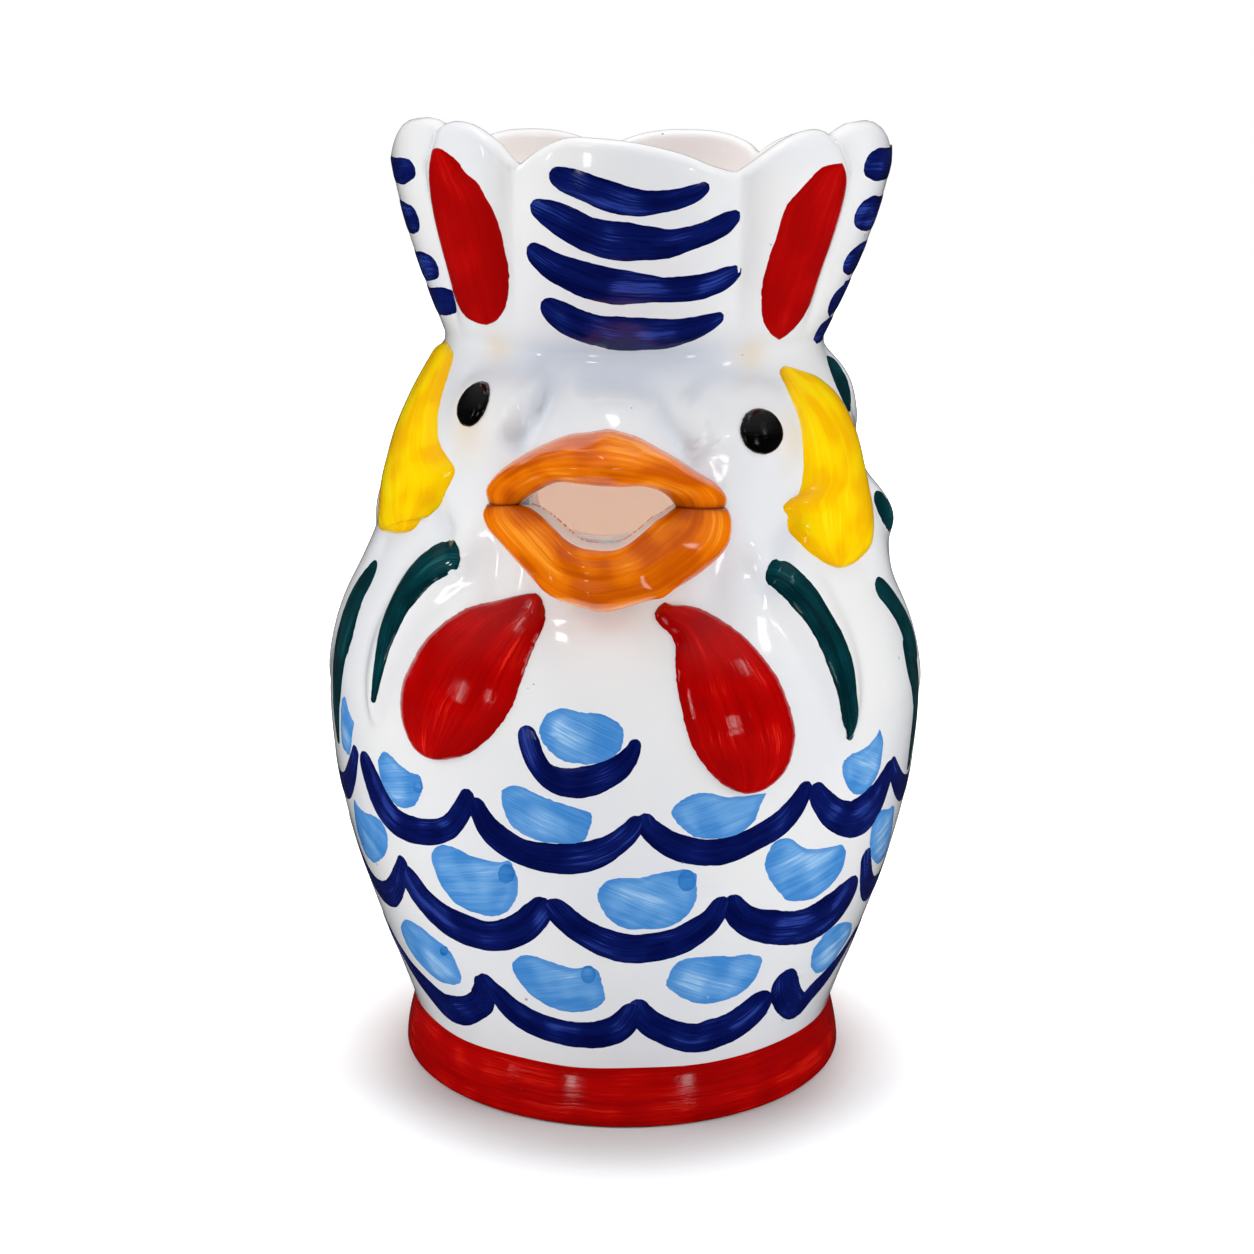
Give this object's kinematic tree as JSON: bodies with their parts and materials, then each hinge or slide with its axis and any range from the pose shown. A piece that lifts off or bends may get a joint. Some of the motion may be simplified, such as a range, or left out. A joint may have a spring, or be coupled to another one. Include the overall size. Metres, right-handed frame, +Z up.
{
  "type": "pitcher",
  "caption": "Glazed earthenware pitcher shaped as a hen, filled through a petalled crest and poured through an open beak, with a strap handle behind.",
  "frame": {"origin": "centre of the foot's flat underside, on the ground", "axes": "+Z up, -Y the way the beak points, +Y towards the handle, +X the right-hand side of someone who faces the beak"},
  "size_m": [0.1616, 0.1977, 0.25],
  "materials": {
    "white_glaze": "glossy bluish-white glaze with small pinholes, warmer where it is thin on the lip and inside",
    "red_glaze": "glossy brushed red glaze",
    "wattle_glaze": "glossy brushed crimson glaze with lighter streaks",
    "orange_glaze": "glossy brushed orange glaze, browner where it is thick",
    "yellow_glaze": "glossy brushed yellow glaze with deeper patches",
    "black_glaze": "thick glossy black glaze",
    "green_glaze": "glossy dark teal-green brush strokes on white raised feathers",
    "navy_glaze": "glossy navy brush strokes with bristle streaks",
    "blue_glaze": "watery light blue glaze, pooled darker at its edges"
  },
  "bodies": {
    "root": {"foot_band": "red_glaze", "belly_shell": "white_glaze", "head_shell": "white_glaze", "crest_front": "white_glaze", "crest_narrow_right": "white_glaze", "crest_side_right": "white_glaze", "crest_back_right": "white_glaze", "crest_rear_right": "white_glaze", "crest_rear_left": "white_glaze", "crest_side_left": "white_glaze", "crest_narrow_left": "white_glaze", "beak_upper": "orange_glaze", "beak_lower": "orange_glaze", "eye_left": "black_glaze", "eye_right": "black_glaze", "cheek_left": "yellow_glaze", "cheek_right": "yellow_glaze", "wattle_left": "wattle_glaze", "wattle_right": "wattle_glaze", "feather_front_left": "green_glaze", "feather_front_right": "green_glaze", "feather_wing_left": "green_glaze", "feather_wing_right": "green_glaze", "feather_back_left": "green_glaze", "feather_back_right": "green_glaze", "feather_shoulder_left": "green_glaze", "feather_shoulder_right": "green_glaze", "feather_ear_left": "green_glaze", "feather_ear_right": "green_glaze", "handle": "white_glaze"}
  },
  "joints": []
}
